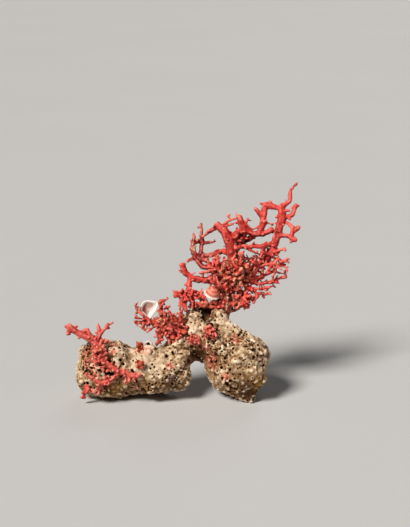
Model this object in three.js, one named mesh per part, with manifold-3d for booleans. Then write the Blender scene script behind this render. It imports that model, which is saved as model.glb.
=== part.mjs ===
// Red coral colonies on the arched piece of sea rock that they grew on, standing on a table.
// Millimetres. Points are [right, up, near] as the specimen faces the viewer: right of its middle,
// up its leaning plane, and out of that plane towards the viewer. The whole then leans back, +Z up.

import * as THREE from "three";
import { MarchingCubes } from "three/addons/objects/MarchingCubes.js";
import { ImprovedNoise } from "three/addons/math/ImprovedNoise.js";
import { mergeVertices } from "three/addons/utils/BufferGeometryUtils.js";
import Module from "manifold-3d";

const wasm = await Module();
wasm.setup();
const noise = new ImprovedNoise();

// Driving dimensions
const LEAN = THREE.MathUtils.degToRad(16); // how far the coral's plane leans back from upright
const GAP = 0.3; // clearance between a piece and what it grows on
const REACH = 200; // longer than the specimen, for rays and for the table
const SLIVER = 0.03; // facets thinner than this are merged into their neighbours

// How limbs are faceted
const LIMB_STEP = 8;
const THICK_LIMB = 2.9; // foot radius from which a limb has the most sides
const SLIM_LIMB = 1.9; // foot radius from which it has the middle number
const THICK_SIDES = 6;
const SLIM_SIDES = 5;
const TWIG_SIDES = 4;
const LIMB_LUMP = 0.16; // share of a limb's radius that its lumps add or take
const LIMB_LUMP_SIZE = 4;
const TIP_ROUND = 0.9; // how far a grown tip domes, in tip radii
const STUB_ROUND = 0.25; // the same for a broken stub

// How twigs sprout from a limb
const GOLDEN_SHARE = (Math.sqrt(5) - 1) / 2; // steps of this share of a turn never fall together
const GOLDEN_ANGLE = 2 * Math.PI * GOLDEN_SHARE;
const SPROUT_AXIS = new THREE.Vector3(0.3, 0.2, 1); // the first twig stands square to this
const SPROUT_RAKE = 0.45; // how far a twig leans along its limb
const SPROUT_SHORTEST = 0.7; // shortest and longest twig, as shares of the usual length
const SPROUT_LONGEST = 1.3;
const SPROUT_KNEE = 0.55; // where a twig bends, as a share of its length, and by how much
const SPROUT_SAG = 0.08;

// How the rock is shaped and faceted
const ROCK_MIDDLE = new THREE.Vector3(-8, 28, 0); // middle of the block of space that the rock is cast in
const ROCK_HALF = 86; // half of that block's side
const ROCK_CELLS = 24; // cells along each side, which sets the size of a facet
const ROCK_MOST_FACETS = 9000;
const ROCK_BLEND = 2.2; // width over which neighbouring lumps run together
const ROCK_SQUARENESS = 2.8; // 2 is an ellipsoid, and more is blockier
const ROCK_SWELL = 3.4; // depth of the rock's broad lumps, and their width
const ROCK_SWELL_SIZE = 13;
const ROCK_GRIT = 1.6; // depth of its small lumps, and their width
const ROCK_GRIT_SIZE = 6;
const PITS_PER_LUMP = 4;
const PIT_TOP = 0.85; // pits start this far up a lump, as a share of its half height
const PIT_SPAN = 1.5; // and are spread down over this much of it
const PIT_SMALLEST = 1.8;
const PIT_LARGEST = 2.8;
const PIT_CLEAR_OF_TABLE = 7; // pits keep this far up, so that the feet stay whole
const TUFT_SUNK = 0.8; // how deep a tuft's heart sits in the rock

// Shells
const VALVE_RINGS = 3;
const VALVE_SIDES = 10;
const EAR_SHELL = { radius: 5.8, depth: 4, wall: 1.1 };
const DOME_SHELL = { radius: 4.8, depth: 4.2, wall: 1.2 };
const WORM_RING = 2.3;
const WORM_RADIUS = 0.9;
const WORM_BACK = 6; // how far the worm tube stands behind the rock's front face

// Materials
const ROCK = new THREE.MeshStandardMaterial({ color: 0xc9ab85, roughness: 0.95, metalness: 0 });
const CORAL = new THREE.MeshStandardMaterial({ color: 0xd2544a, roughness: 0.55, metalness: 0 });
const SHELL = new THREE.MeshStandardMaterial({ color: 0xe4cfc0, roughness: 0.5, metalness: 0 });

// Solids

// A closed three.js geometry as a solid that can be joined and cut.
function solidOf(geometry) {
  const bare = geometry.clone();
  bare.deleteAttribute("normal");
  bare.deleteAttribute("uv");
  const merged = mergeVertices(bare);
  const vertProperties = new Float32Array(merged.getAttribute("position").array);
  const triVerts = new Uint32Array(merged.index.array);
  return new wasm.Manifold(new wasm.Mesh({ numProp: 3, vertProperties, triVerts }));
}

function geometryOf(solid) {
  const { vertProperties, triVerts } = solid.getMesh();
  const geometry = new THREE.BufferGeometry();
  geometry.setAttribute("position", new THREE.BufferAttribute(vertProperties, 3));
  geometry.setIndex(new THREE.BufferAttribute(triVerts, 1));
  geometry.computeVertexNormals();
  return geometry;
}

// Smooth noise at a point, with lumps of about the given size.
const roughness = (point, size) => noise.noise(point.x / size, point.y / size, point.z / size);

const join = (solids) => solids.reduce((whole, next) => whole.add(next));

// Chips that a cut leaves loose fall away, and the largest body is the piece.
function largestBody(solid) {
  return solid.decompose().reduce((best, body) => (body.volume() > best.volume() ? body : best));
}

// Limbs

const limb = (foot, tip, ...path) => ({ foot, tip, path, blunt: false });
const stub = (foot, tip, ...path) => ({ foot, tip, path, blunt: true });
const curveOf = ({ path }) => new THREE.CatmullRomCurve3(path.map((point) => new THREE.Vector3(...point)));

// A share between 0 and 1 that differs from one number to the next.
const varied = (number) => (number * GOLDEN_SHARE) % 1;

function sidesOf(foot) {
  if (foot >= THICK_LIMB) return THICK_SIDES;
  return foot >= SLIM_LIMB ? SLIM_SIDES : TWIG_SIDES;
}

// A tapering, slightly lumpy limb: a cylinder bent along its path. Growing it gives the space it needs.
function limbSolid(shape, grow = 0) {
  const { foot, tip, blunt } = shape;
  const curve = curveOf(shape);
  const steps = Math.max(1, Math.round(curve.getLength() / LIMB_STEP));
  const geometry = new THREE.CylinderGeometry(1, 1, 1, sidesOf(foot), steps);
  const frames = curve.computeFrenetFrames(steps);
  const position = geometry.getAttribute("position");
  for (let i = 0; i < position.count; i += 1) {
    const [across, height, aside] = [position.getX(i), position.getY(i), position.getZ(i)];
    const along = height + 0.5;
    const step = Math.round(along * steps);
    const end = Math.trunc(2 * height);
    const point = curve.getPointAt(step / steps);
    const lump = roughness(point, LIMB_LUMP_SIZE);
    const radius = THREE.MathUtils.lerp(foot, tip, along) * (1 + LIMB_LUMP * lump) + grow;
    const onAxis = across === 0 && aside === 0;
    const dome = onAxis ? radius * (blunt || end < 0 ? STUB_ROUND : TIP_ROUND) : 0;
    point.addScaledVector(frames.normals[step], radius * across);
    point.addScaledVector(frames.binormals[step], -radius * aside);
    point.addScaledVector(frames.tangents[step], end * (grow + dome));
    position.setXYZ(i, ...point.toArray());
  }
  return solidOf(geometry);
}

// Twigs that stand out round a limb, each turned on from the last by the golden angle.
function sprouts(parent, { count, length, from = 0.1, to = 0.95, foot = 1.0, tip = 0.6, sweep = [0, 0, 0] }) {
  const curve = curveOf(parent);
  const swept = new THREE.Vector3(...sweep);
  const twigs = [];
  for (let i = 0; i < count; i += 1) {
    const at = THREE.MathUtils.lerp(from, to, (i + 0.5) / count);
    const root = curve.getPointAt(at);
    const tangent = curve.getTangentAt(at);
    const side = SPROUT_AXIS.clone().cross(tangent).normalize();
    side.applyAxisAngle(tangent, i * GOLDEN_ANGLE);
    const out = side.addScaledVector(tangent, SPROUT_RAKE).add(swept).normalize();
    const reach = length * THREE.MathUtils.lerp(SPROUT_SHORTEST, SPROUT_LONGEST, varied(i));
    const knee = root.clone().addScaledVector(out, reach * SPROUT_KNEE);
    knee.addScaledVector(tangent, -reach * SPROUT_SAG);
    const end = root.clone().addScaledVector(out, reach);
    twigs.push(limb(foot, tip, root.toArray(), knee.toArray(), end.toArray()));
  }
  return twigs;
}

// Rock: rounded lumps, as [centre], [half width, half height, half depth], run together and roughened

const LEFT_LUMPS = [
  [[-53, 20, 1], [19.5, 20, 18]],
  [[-19.5, 20.5, 2], [22, 15.5, 17]],
  [[-65, 14, 4], [6.6, 8.5, 11]],
  [[-65, 32.5, 1], [7, 8, 10]],
  [[-1, 26, 5], [4.2, 5, 8]],
  [[-3.5, 10.5, 2], [7.5, 5, 9]],
  [[-30, 9, -15], [11, 9.5, 9]],
];
const BRIDGE_LUMPS = [
  [[4, 41.5, -3], [12, 8.5, 13]],
  [[19, 39.5, -4], [11, 8.5, 13]],
  [[5, 53, -2], [6, 9, 7]],
  [[14.5, 54, -3], [8, 8.5, 6.5]],
  [[25, 51, -1], [6.6, 12.5, 8.5]],
];
const RIGHT_LUMPS = [
  [[39.4, 24.6, 1], [19.7, 20, 20]],
  [[32.5, 37.4, 0], [13.5, 10.6, 15]],
  [[43.5, 7.5, 2], [8.5, 9.8, 11]],
  [[28, 15, 2], [7.5, 8.5, 13]],
  [[20.5, 27, -2], [5, 6, 10]],
];
const ROCK_LUMPS = [...LEFT_LUMPS, ...BRIDGE_LUMPS, ...RIGHT_LUMPS];

// Roughly how far a point is outside one lump, less than nothing when it is inside.
function lumpDistance(point, [centre, radii]) {
  const spread = point.toArray().map((value, axis) => Math.abs(value - centre[axis]) / radii[axis]);
  const size = spread.reduce((sum, value) => sum + value ** ROCK_SQUARENESS, 0) ** (1 / ROCK_SQUARENESS);
  return (size - 1) * Math.min(...radii);
}

// The same for the whole rock.
function rockDistance(point) {
  const nearness = ROCK_LUMPS.map((lump) => Math.exp(-lumpDistance(point, lump) / ROCK_BLEND));
  const smooth = -ROCK_BLEND * Math.log(nearness.reduce((sum, value) => sum + value));
  const swell = ROCK_SWELL * roughness(point, ROCK_SWELL_SIZE);
  const grit = ROCK_GRIT * roughness(point, ROCK_GRIT_SIZE);
  return smooth - swell - grit;
}

// The rock's skin, found cell by cell.
function castRock() {
  const cast = new MarchingCubes(ROCK_CELLS, ROCK, false, false, ROCK_MOST_FACETS);
  cast.isolation = 0;
  const cell = (2 * ROCK_HALF) / ROCK_CELLS;
  for (let k = 0; k < ROCK_CELLS; k += 1) {
    for (let j = 0; j < ROCK_CELLS; j += 1) {
      for (let i = 0; i < ROCK_CELLS; i += 1) {
        const point = new THREE.Vector3(i, j, k).multiplyScalar(cell).subScalar(ROCK_HALF).add(ROCK_MIDDLE);
        cast.setCell(i, j, k, -rockDistance(point));
      }
    }
  }
  cast.update();
  const corners = cast.positionArray.slice(0, 3 * cast.count);
  const geometry = new THREE.BufferGeometry();
  geometry.setAttribute("position", new THREE.BufferAttribute(corners, 3));
  geometry.scale(ROCK_HALF, ROCK_HALF, ROCK_HALF);
  geometry.translate(...ROCK_MIDDLE.toArray());
  return mergeVertices(geometry);
}

// A skin pushed out along its normals.
function swollen(skin, grow) {
  const geometry = skin.clone();
  geometry.computeVertexNormals();
  const position = geometry.getAttribute("position");
  const normal = geometry.getAttribute("normal");
  for (let i = 0; i < position.count; i += 1) {
    const point = new THREE.Vector3().fromBufferAttribute(position, i);
    point.addScaledVector(new THREE.Vector3().fromBufferAttribute(normal, i), grow);
    position.setXYZ(i, ...point.toArray());
  }
  return geometry;
}

const heightOnTable = (point) => point.y * Math.cos(LEAN) + point.z * Math.sin(LEAN);

// Borings spread over a lump on a spiral, left out where another lump covers them.
function pitSolids([centre, radii]) {
  const pits = [];
  for (let i = 0; i < PITS_PER_LUMP; i += 1) {
    const level = PIT_TOP - (PIT_SPAN * (i + 0.5)) / PITS_PER_LUMP;
    const turn = i * GOLDEN_ANGLE + centre[0];
    const ring = Math.sqrt(1 - level * level);
    const out = new THREE.Vector3(ring * Math.cos(turn), level, ring * Math.sin(turn));
    const point = out.clone().multiply(new THREE.Vector3(...radii)).add(new THREE.Vector3(...centre));
    const off = rockDistance(point);
    if (Math.abs(off) > PIT_LARGEST || heightOnTable(point) < PIT_CLEAR_OF_TABLE) continue;
    const pit = new THREE.IcosahedronGeometry(THREE.MathUtils.lerp(PIT_SMALLEST, PIT_LARGEST, varied(i)), 0);
    pits.push(solidOf(pit.translate(...point.addScaledVector(out, -off).toArray())));
  }
  return pits;
}

// The table's top, as a block to cut the rock's feet flat.
function tableSolid() {
  const table = new THREE.BoxGeometry(2 * REACH, 2 * REACH, REACH);
  table.translate(0, 0, -REACH / 2);
  table.rotateX(LEAN - Math.PI / 2);
  return solidOf(table);
}

const rockSkin = castRock();
const grownRock = solidOf(swollen(rockSkin, 2 * GAP));
const pits = join(ROCK_LUMPS.flatMap(pitSolids));
const rock = largestBody(solidOf(rockSkin).subtract(pits).subtract(tableSolid()));

// A point on the rock's front face, lifted clear of it.
const rockFace = new THREE.Mesh(geometryOf(grownRock), ROCK);
const caster = new THREE.Raycaster();
function onRock(right, up, lift) {
  caster.set(new THREE.Vector3(right, up, REACH), new THREE.Vector3(0, 0, -1));
  const [hit] = caster.intersectObject(rockFace);
  return [right, up, hit.point.z + lift];
}

// The great fan, split at its main forks

function stemLimbs() {
  const trunk = limb(6, 4.4, [26, 58, -1], [28, 66, 0], [31, 75, 0], [33, 84, 0]);
  const leftRoot = limb(3, 2, [27, 63, 0], [19, 65, 3], [12, 66, 4]);
  return [
    trunk,
    leftRoot,
    limb(2.4, 1.4, [29, 66, 0], [35, 66, 4], [40, 69, 6]),
    ...sprouts(trunk, {
      count: 2, from: 0.15, to: 0.8,
      length: 9, foot: 1.4, tip: 0.8, sweep: [0.2, 0.1, 0.5],
    }),
  ];
}

function leftBoughLimbs() {
  const bough = limb(3.7, 3, [33, 83, 0], [34, 93, 2], [33, 103, 5], [31.5, 111, 6]);
  const back = limb(2.2, 1.5, [33, 101, 4], [27, 103, -2], [21, 101, -6], [14, 99.5, -8]);
  return [
    bough,
    stub(3, 2.5, [31.7, 109, 6], [30, 114, 6], [27, 118, 6], [22.7, 122, 5]),
    limb(1.9, 1.6, [32, 111, 6], [35.5, 115, 3], [39, 117.5, 0]),
    limb(1.5, 1.1, [24, 120, 5], [20, 117.5, 0], [16, 115, -4], [13.5, 113, -6]),
    limb(1.3, 1.1, [26, 119, 5], [29, 122.3, 2], [33, 125, 0], [37, 126, 0]),
    limb(0.9, 0.6, [33, 125, 0], [30.2, 128, -1]),
    limb(1.0, 0.8, [27.5, 119, 4], [32, 121.4, 1], [37, 123, 0]),
    back,
  ];
}

function leftSpiresLimbs() {
  const foot = limb(1.9, 1.8, [17, 96.5, -5], [11, 97, -7], [6.3, 101, -7], [6, 106, -7]);
  const spire = limb(
    1.8,
    0.6,
    [12, 100, -8], [13, 107, -8], [13.2, 113, -8],
    [11.2, 119, -8], [12.3, 122.7, -8],
  );
  return [
    foot,
    spire,
    limb(1.7, 0.7, [6, 105, -7], [6.4, 109, -7], [7.4, 113.4, -7]),
    limb(1.9, 1.7, [9, 98, -7], [12, 101, -8]),
    limb(1.1, 0.6, [13, 108, -8], [18, 108.7, -8], [23.6, 110, -7]),
    limb(1.0, 0.8, [6.6, 108, -7], [12.8, 110.8, -8]),
    limb(1.1, 0.7, [7, 98.6, -7], [3.2, 96.6, -6]),
    limb(1.8, 1.6, [7.5, 98.5, -6.5], [11, 93.5, -5], [16, 90.5, -4.5], [22, 90, -4]),
  ];
}

function middleBoughLimbs() {
  const riser = limb(2.4, 2.2, [35, 96, -3], [38, 105, -5], [42, 113, -3], [43, 117.5, -2]);
  const deck = limb(
    2.1,
    1.8,
    [42.5, 117.6, -2], [46.5, 115.2, -2], [53.5, 115.2, -1],
    [57, 114.6, 0], [62, 118.2, 1],
  );
  return [
    riser,
    deck,
    stub(2.6, 2.2, [43, 116.5, -2], [41, 121.5, -1], [38.5, 127.4, 0]),
    stub(2.3, 2.1, [53, 115, -1], [55.4, 121.5, -1], [56.4, 129, -1], [57.4, 136.8, -1]),
    stub(2.3, 2, [57.4, 135, -1], [61, 134.8, 0], [65, 133.2, 1]),
    limb(1.6, 1.1, [55.8, 126.4, -1], [52.6, 129.6, 0], [50.3, 132.2, 0]),
    limb(0.9, 0.7, [57.5, 123, -1], [59.4, 126.8, 0], [61.6, 126.2, 0], [62.3, 121.4, 0]),
    limb(1.4, 1.2, [43, 121.4, -1], [47, 118.4, -2], [50.6, 119, -2], [54.4, 120.4, -1]),
    limb(1.0, 0.7, [42.5, 121, -1], [45.7, 126.6, -2]),
    limb(1.5, 1.2, [49, 114, -3], [44.5, 110.6, -7], [39, 108, -10]),
  ];
}

function rightBoughLimbs() {
  const bough = limb(
    2.9,
    2.4,
    [35, 84, 0], [45, 88, -1], [54, 94, 0],
    [60.5, 100, 2], [63.3, 105, 3], [64.4, 110.5, 3],
  );
  const mast = limb(2.6, 3.4, [63.8, 107, 3], [65, 112.5, 2.5], [66.9, 119.8, 2]);
  const masthead = limb(3.4, 2.3, [66.6, 118.6, 2], [68.9, 126, 2], [68.7, 134.4, 2]);
  const crosswise = limb(
    1.9,
    1.6,
    [62.5, 108.4, 3], [57.5, 106.2, 5], [50.5, 105.6, 6],
    [43.5, 106.2, 6.5], [36, 105.3, 7],
  );
  return [
    bough,
    mast,
    masthead,
    crosswise,
    limb(
      1.9,
      1.2,
      [69, 133.5, 2], [73.2, 135.6, 2], [74.8, 140.2, 2],
      [74.4, 143.6, 2], [76, 148, 2], [79.4, 150.8, 3],
    ),
    limb(1.9, 1.5, [69, 125.3, 2], [74.9, 126.8, 3], [77, 130.6, 3], [78.5, 135.6, 3]),
    limb(1.2, 1.0, [78.2, 134.4, 3], [80.7, 134.3, 3]),
    limb(1.0, 0.8, [69, 130.8, 3], [74.2, 131.2, 5]),
    limb(2.1, 1.6, [65.5, 113.8, 3], [71.5, 113.4, 4], [76.2, 113, 4], [78, 110.2, 5]),
    limb(1.7, 1.3, [75.2, 113.2, 4], [76.6, 117, 4], [76, 119.4, 4]),
    limb(1.3, 1.0, [76.4, 116.2, 4], [80.7, 119.5, 4]),
    limb(1.0, 0.8, [76, 119, 4], [71.9, 123.2, 3]),
    limb(1.6, 0.9, [61, 101, 3], [65.5, 102.4, 6], [70, 104.8, 7]),
    limb(1.8, 1.5, [56, 105.8, 5], [53, 103, 6.5], [53.2, 98.4, 7]),
    limb(1.4, 1.2, [54, 102.6, 6.5], [60.6, 100.2, 4]),
    limb(1.3, 1.1, [53, 100.4, 6.5], [50, 101.6, 6], [44, 104.4, 6]),
    ...sprouts(bough, {
      count: 2, from: 0.05, to: 0.7,
      length: 9, foot: 1.4, tip: 0.8, sweep: [0.1, 0.1, 0.3],
    }),
  ];
}

function lowLeftBoughLimbs() {
  const bough = stub(
    2.4,
    2,
    [30, 81, -1], [23, 82, -2], [14, 82.5, -2],
    [7, 83.5, -2], [2, 86.5, -2], [-1.4, 94, -1],
  );
  const drop = stub(2, 2.2, [4.5, 84.6, -2], [4, 79, -1], [3.4, 73.6, 0], [-1, 72, 1], [-6.6, 72, 2]);
  const cluster = limb(1.9, 1.5, [3.6, 73, 0], [6, 68, 2], [9, 65, 3], [6, 62.8, 3]);
  const upper = limb(2, 1.7, [31, 91, -1], [26, 94.5, -2], [21.5, 96, -4]);
  return [
    bough,
    drop,
    cluster,
    limb(1.9, 1.7, [27, 82, -1], [27, 88, -2], [28.5, 93, -1.5]),
    upper,
    limb(1.1, 0.7, [2.6, 86, -2], [5, 88.6, -1], [8.2, 87.6, 0]),
    limb(1.4, 1.1, [-3, 72, 1], [-4.6, 75, 1]),
    limb(1.0, 0.7, [4, 78, -1], [0.8, 79.8, -1]),
    limb(1.7, 1.3, [3.6, 74, 0], [9, 74.4, 2], [14, 71, 4]),
    limb(1.6, 0.9, [26, 86, -1], [22, 88.8, 0], [16.5, 89, 1], [11.2, 87.4, 2]),
    limb(2.2, 1.9, [9, 65, 3], [13, 66, 5], [15, 61.5, 5]),
    limb(2.1, 1.6, [4, 72, 0], [0.5, 66.5, 3], [1.5, 61.5, 5]),
  ];
}

function rightSprayLimbs() {
  const high = limb(2.4, 0.9, [39, 83, 4], [48, 84, 6], [57, 86, 7], [64, 89.6, 7], [69, 95.8, 7]);
  const middle = limb(1.9, 0.8, [44, 82.6, 5], [53, 80, 7], [61.5, 81, 8], [68.4, 84.8, 8]);
  const low = limb(1.9, 0.8, [40, 82, 4], [45, 77, 6], [54, 76.5, 8], [62.4, 78.6, 8]);
  return [
    high,
    middle,
    low,
    limb(1.2, 0.8, [66.5, 92, 7], [72.6, 92, 8]),
    limb(1.7, 0.7, [44, 78, 6], [48, 74, 7], [53, 74.4, 7], [58, 72.8, 7]),
    limb(1.2, 0.6, [43.8, 78, 6], [43.6, 71.5, 7], [46.4, 66.8, 7]),
    limb(1.0, 0.5, [43.7, 72.6, 7], [41.6, 66.4, 6], [42.8, 61, 6]),
    limb(1.2, 0.7, [57, 86, 7], [62, 94, 8], [66.8, 97.6, 8]),
    limb(1.5, 1.0, [48, 84, 6], [51, 91, 8], [56, 94.5, 8], [61, 94, 8]),
    ...sprouts(high, { count: 4, to: 0.8, length: 7, foot: 1.3, tip: 0.7, sweep: [0.1, 0.2, 0.5] }),
    ...sprouts(middle, { count: 3, to: 0.8, length: 6, foot: 1.2, tip: 0.7, sweep: [0.1, 0, 0.5] }),
    ...sprouts(low, { count: 3, to: 0.8, length: 6, foot: 1.2, tip: 0.7, sweep: [0.1, -0.1, 0.5] }),
  ];
}

function frontSprayLimbs() {
  const rise = limb(2.4, 1.2, [34, 79, 5], [36, 86, 10], [38, 92, 13], [40, 98, 14]);
  const leftward = limb(2, 1, [34.5, 81, 7], [28, 86, 11], [24, 91, 13], [21, 95, 13]);
  const lowleft = limb(1.9, 1, [34, 79.5, 6], [29, 77, 10], [24, 79, 13], [19, 82, 13]);
  return [
    rise,
    leftward,
    lowleft,
    ...sprouts(rise, { count: 7, from: 0.15, length: 8, foot: 1.4, tip: 0.8, sweep: [0.1, 0.3, 0.4] }),
    ...sprouts(leftward, { count: 5, from: 0.2, length: 6, foot: 1.3, tip: 0.8, sweep: [0, 0.3, 0.4] }),
    ...sprouts(lowleft, { count: 3, from: 0.2, length: 5, foot: 1.2, tip: 0.8, sweep: [0, 0, 0.5] }),
  ];
}

function backSprayLimbs() {
  const rise = limb(2.2, 1.1, [34, 80, -5], [38, 87, -10], [44, 93, -13], [50, 99, -14]);
  const leftward = limb(1.9, 1, [33, 82, -6], [27, 86, -11], [22, 90, -13]);
  return [
    rise,
    leftward,
    limb(2, 1.8, [33, 81.5, -5], [34.5, 80, -5]),
    ...sprouts(rise, { count: 2, from: 0.15, length: 8, foot: 1.3, tip: 0.8, sweep: [0.1, 0.3, -0.4] }),
  ];
}

// The smaller colonies

function shoulderColonyLimbs() {
  const arm = limb(
    3.4,
    1.6,
    [3, 45, 8], [-6, 49, 8], [-14, 51.2, 8],
    [-20.5, 53, 8], [-26, 54.8, 8], [-29.6, 53, 8],
  );
  const upright = limb(1.9, 1.5, [-13.5, 51, 8], [-15, 57, 8], [-15.9, 63, 8], [-15.4, 68.6, 8]);
  const second = limb(2.1, 1.5, [-8, 50, 8], [-10.5, 55.5, 8.5], [-9.5, 60.6, 9]);
  const third = limb(2, 1.3, [-2.2, 48, 8], [-3, 54, 6.4], [-2, 59.6, 6]);
  return [
    arm,
    upright,
    second,
    third,
    limb(1.6, 1.1, [-24.5, 55, 9], [-28, 58.8, 12], [-31.2, 60.4, 12], [-33, 63.2, 11]),
    limb(1.4, 1.0, [-26, 55.2, 9], [-29.4, 57, 10], [-33, 56.7, 10]),
    stub(2.3, 1.9, [-12, 50.5, 8], [-13.4, 56, 11], [-12.4, 60.6, 12]),
    stub(2.4, 2, [-8, 50, 8], [-8, 46, 10], [-7, 42.6, 9]),
    limb(2.1, 1.6, [-4, 48.5, 8], [-6, 53, 11], [-6.5, 57.6, 12]),
    limb(1.9, 1.2, [-14, 50, 8], [-15.6, 45.6, 10], [-17.3, 42.6, 10], [-17.8, 39, 10]),
    limb(1.6, 1.4, [-9, 47.6, 9], [-13, 46.6, 10], [-17.8, 46.4, 10.5]),
    ...sprouts(arm, { count: 3, length: 5.5, foot: 1.3, tip: 0.8, sweep: [0, 0.1, 0.5] }),
    ...sprouts(upright, { count: 1, from: 0.2, length: 4.6, foot: 1.2, tip: 0.8, sweep: [0, 0.2, 0.2] }),
  ];
}

function endColonyLimbs() {
  const base = onRock(-58, 35, 0.5);
  const near = base[2] - 2;
  const boss = stub(3.6, 3, base, [-60, 39.6, near + 1], [-63, 42.4, near]);
  const horn = stub(
    2.6,
    2.2,
    [-61.5, 41.6, near], [-68, 43.7, near], [-73, 47.2, near + 1],
    [-78.2, 50.2, near + 2],
  );
  const drape = stub(4.1, 3.2, onRock(-57, 34.5, 0.5), onRock(-56, 30.5, 0.6), onRock(-55.3, 26.6, 0.4));
  const fork = limb(2.2, 1.8, [-60, 40, near + 1], [-57.8, 43.2, near], [-56.8, 46.2, near]);
  return [
    boss,
    drape,
    horn,
    fork,
    stub(2, 1.6, [-77.4, 52, near + 2], [-79.3, 48.6, near + 2], [-79, 45.2, near + 3]),
    stub(1.7, 1.3, [-63.4, 43, near], [-64.8, 46.4, near], [-66.2, 49.4, near]),
    stub(1.5, 1.3, [-57, 45.4, near], [-58.4, 51, near]),
    limb(1.4, 1.1, [-56.8, 45.8, near], [-54, 49.6, near], [-51.7, 52.4, near]),
    limb(0.8, 0.7, [-52.6, 51, near], [-48.4, 53.4, near]),
    limb(
      2,
      1.6,
      [-59, 38, near + 2], [-56, 36.6, near + 3], [-52.6, 37.6, near + 3],
      [-51.4, 41, near + 2],
    ),
  ];
}

// Coral that creeps over the rock's front follows its face.
const creep = (foot, tip, lift, ...spots) =>
  limb(foot, tip, ...spots.map(([right, up]) => onRock(right, up, lift)));

function creeperLimbs() {
  const vein = creep(
    2.6,
    1.5,
    0.6,
    [-55.5, 29], [-52, 25.5], [-48, 22],
    [-43, 19], [-37, 17.4], [-30.5, 17.2],
  );
  const lower = creep(1.8, 1.5, 0.7, [-44, 18.6], [-47, 15], [-52, 13.8], [-57, 12]);
  const foot = creep(1.7, 1.2, 0.7, [-54, 13], [-57, 8.5], [-62, 5.5]);
  return [
    vein,
    lower,
    foot,
    creep(1.6, 1.0, 0.8, [-38, 17.6], [-37.6, 13]),
    creep(1.6, 1.3, 0.7, [-56.5, 12], [-62, 14.5], [-65, 18]),
  ];
}

// A low tuft on the rock: a short stub with twigs all round it, sized from the tuft's width.
function tuftLimbs(right, up, width, twigs) {
  const seat = onRock(right, up, -TUFT_SUNK);
  const head = [right, up + TUFT_SUNK, seat[2] + 0.3 * width];
  const heart = limb(0.32 * width, 0.26 * width, seat, head);
  const facing = { from: 0.2, foot: 1.4, tip: 0.9, sweep: [0, 0.1, 0.6] };
  return [heart, ...sprouts(heart, { count: twigs, length: 0.5 * width, ...facing })];
}

// A twig that leaves the rock's lower corner and hangs clear of it.
function hangingTwigLimbs() {
  const root = onRock(-65, 9, 0.6);
  const bend = onRock(-66.4, 6.4, 0.8);
  return [limb(1.6, 1.1, root, bend, [-68, 4, bend[2]], [-69.4, 1.6, bend[2] - 0.6])];
}

// Shells that settled among the branches

// A cupped shell valve, mouth up: an outer bowl and an inner one, worked out as one closed profile.
function valveGeometry({ radius, depth, wall }, grow) {
  const bowl = (wide, deep, level, step) => {
    const angle = (step / VALVE_RINGS) * (Math.PI / 2);
    return new THREE.Vector2(wide * Math.sin(angle), level - deep * Math.cos(angle));
  };
  const points = [];
  for (let step = 0; step <= VALVE_RINGS; step += 1) {
    points.push(bowl(radius + grow, depth + grow, 0, step));
  }
  for (let step = VALVE_RINGS; step >= 0; step -= 1) {
    points.push(bowl(radius - wall - grow, depth - wall - grow, grow, step));
  }
  return new THREE.LatheGeometry(points, VALVE_SIDES);
}

// The white valve stands on the shoulder colony with its mouth to the viewer, wider than it is deep.
function earShell(grow = 0) {
  const geometry = valveGeometry(EAR_SHELL, grow);
  geometry.scale(1, 1, 0.85);
  geometry.rotateX(Math.PI / 2);
  geometry.rotateY(-0.5);
  geometry.rotateZ(0.5);
  geometry.translate(-24, 62.6, 8);
  return solidOf(geometry);
}

// The pink shell lies against the fan's stem, back to the viewer.
function domeShell(grow = 0) {
  const geometry = valveGeometry(DOME_SHELL, grow);
  geometry.rotateX(-Math.PI / 2 - 0.35);
  geometry.rotateY(-0.2);
  geometry.translate(20.5, 74.5, 6);
  return solidOf(geometry);
}

// A worm's tube stands out of the rock's top as a half ring.
function wormTube(grow = 0) {
  const [right, up] = [-24.2, 37.8];
  const face = onRock(right, 33, 0);
  const ring = new THREE.TorusGeometry(WORM_RING, WORM_RADIUS + grow, 5, 10);
  ring.translate(right, up, face[2] - WORM_BACK);
  return solidOf(ring);
}

// Assembly: each piece is cut clear of those placed before it

const specimen = new THREE.Group();
const taken = [];

function add(name, material, solid, grown) {
  const clear = largestBody(taken.reduce((left, other) => left.subtract(other), solid));
  const mesh = new THREE.Mesh(geometryOf(clear.asOriginal().simplify(SLIVER)), material);
  mesh.name = name;
  specimen.add(mesh);
  taken.push(grown);
}

function addCoral(name, limbs) {
  const solid = join(limbs.map((shape) => limbSolid(shape))).asOriginal().simplify(SLIVER);
  const grown = join(limbs.map((shape) => limbSolid(shape, GAP)));
  add(name, CORAL, solid, grown);
}

add("rock_base", ROCK, rock, grownRock);
add("dome_shell", SHELL, domeShell(), domeShell(GAP));
add("ear_shell", SHELL, earShell(), earShell(GAP));
add("worm_tube", SHELL, wormTube(), wormTube(GAP));
addCoral("fan_stem", stemLimbs());
addCoral("fan_left_bough", leftBoughLimbs());
addCoral("fan_right_bough", rightBoughLimbs());
addCoral("fan_middle_bough", middleBoughLimbs());
addCoral("fan_low_left_bough", lowLeftBoughLimbs());
addCoral("fan_left_spires", leftSpiresLimbs());
addCoral("fan_right_spray", rightSprayLimbs());
addCoral("fan_front_spray", frontSprayLimbs());
addCoral("fan_back_spray", backSprayLimbs());
addCoral("shoulder_colony", shoulderColonyLimbs());
addCoral("end_colony", endColonyLimbs());
addCoral("front_creeper", creeperLimbs());
addCoral("hanging_twig", hangingTwigLimbs());
addCoral("neck_tuft_upper", tuftLimbs(19, 46, 12, 4));
addCoral("neck_tuft_lower", tuftLimbs(7.2, 41, 10, 4));
addCoral("front_sprig", tuftLimbs(-30, 24.5, 6.2, 3));
addCoral("top_knob", tuftLimbs(-29.8, 35, 7, 2));

// Lean it back, and stand it with the middle of its footprint at the origin

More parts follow.
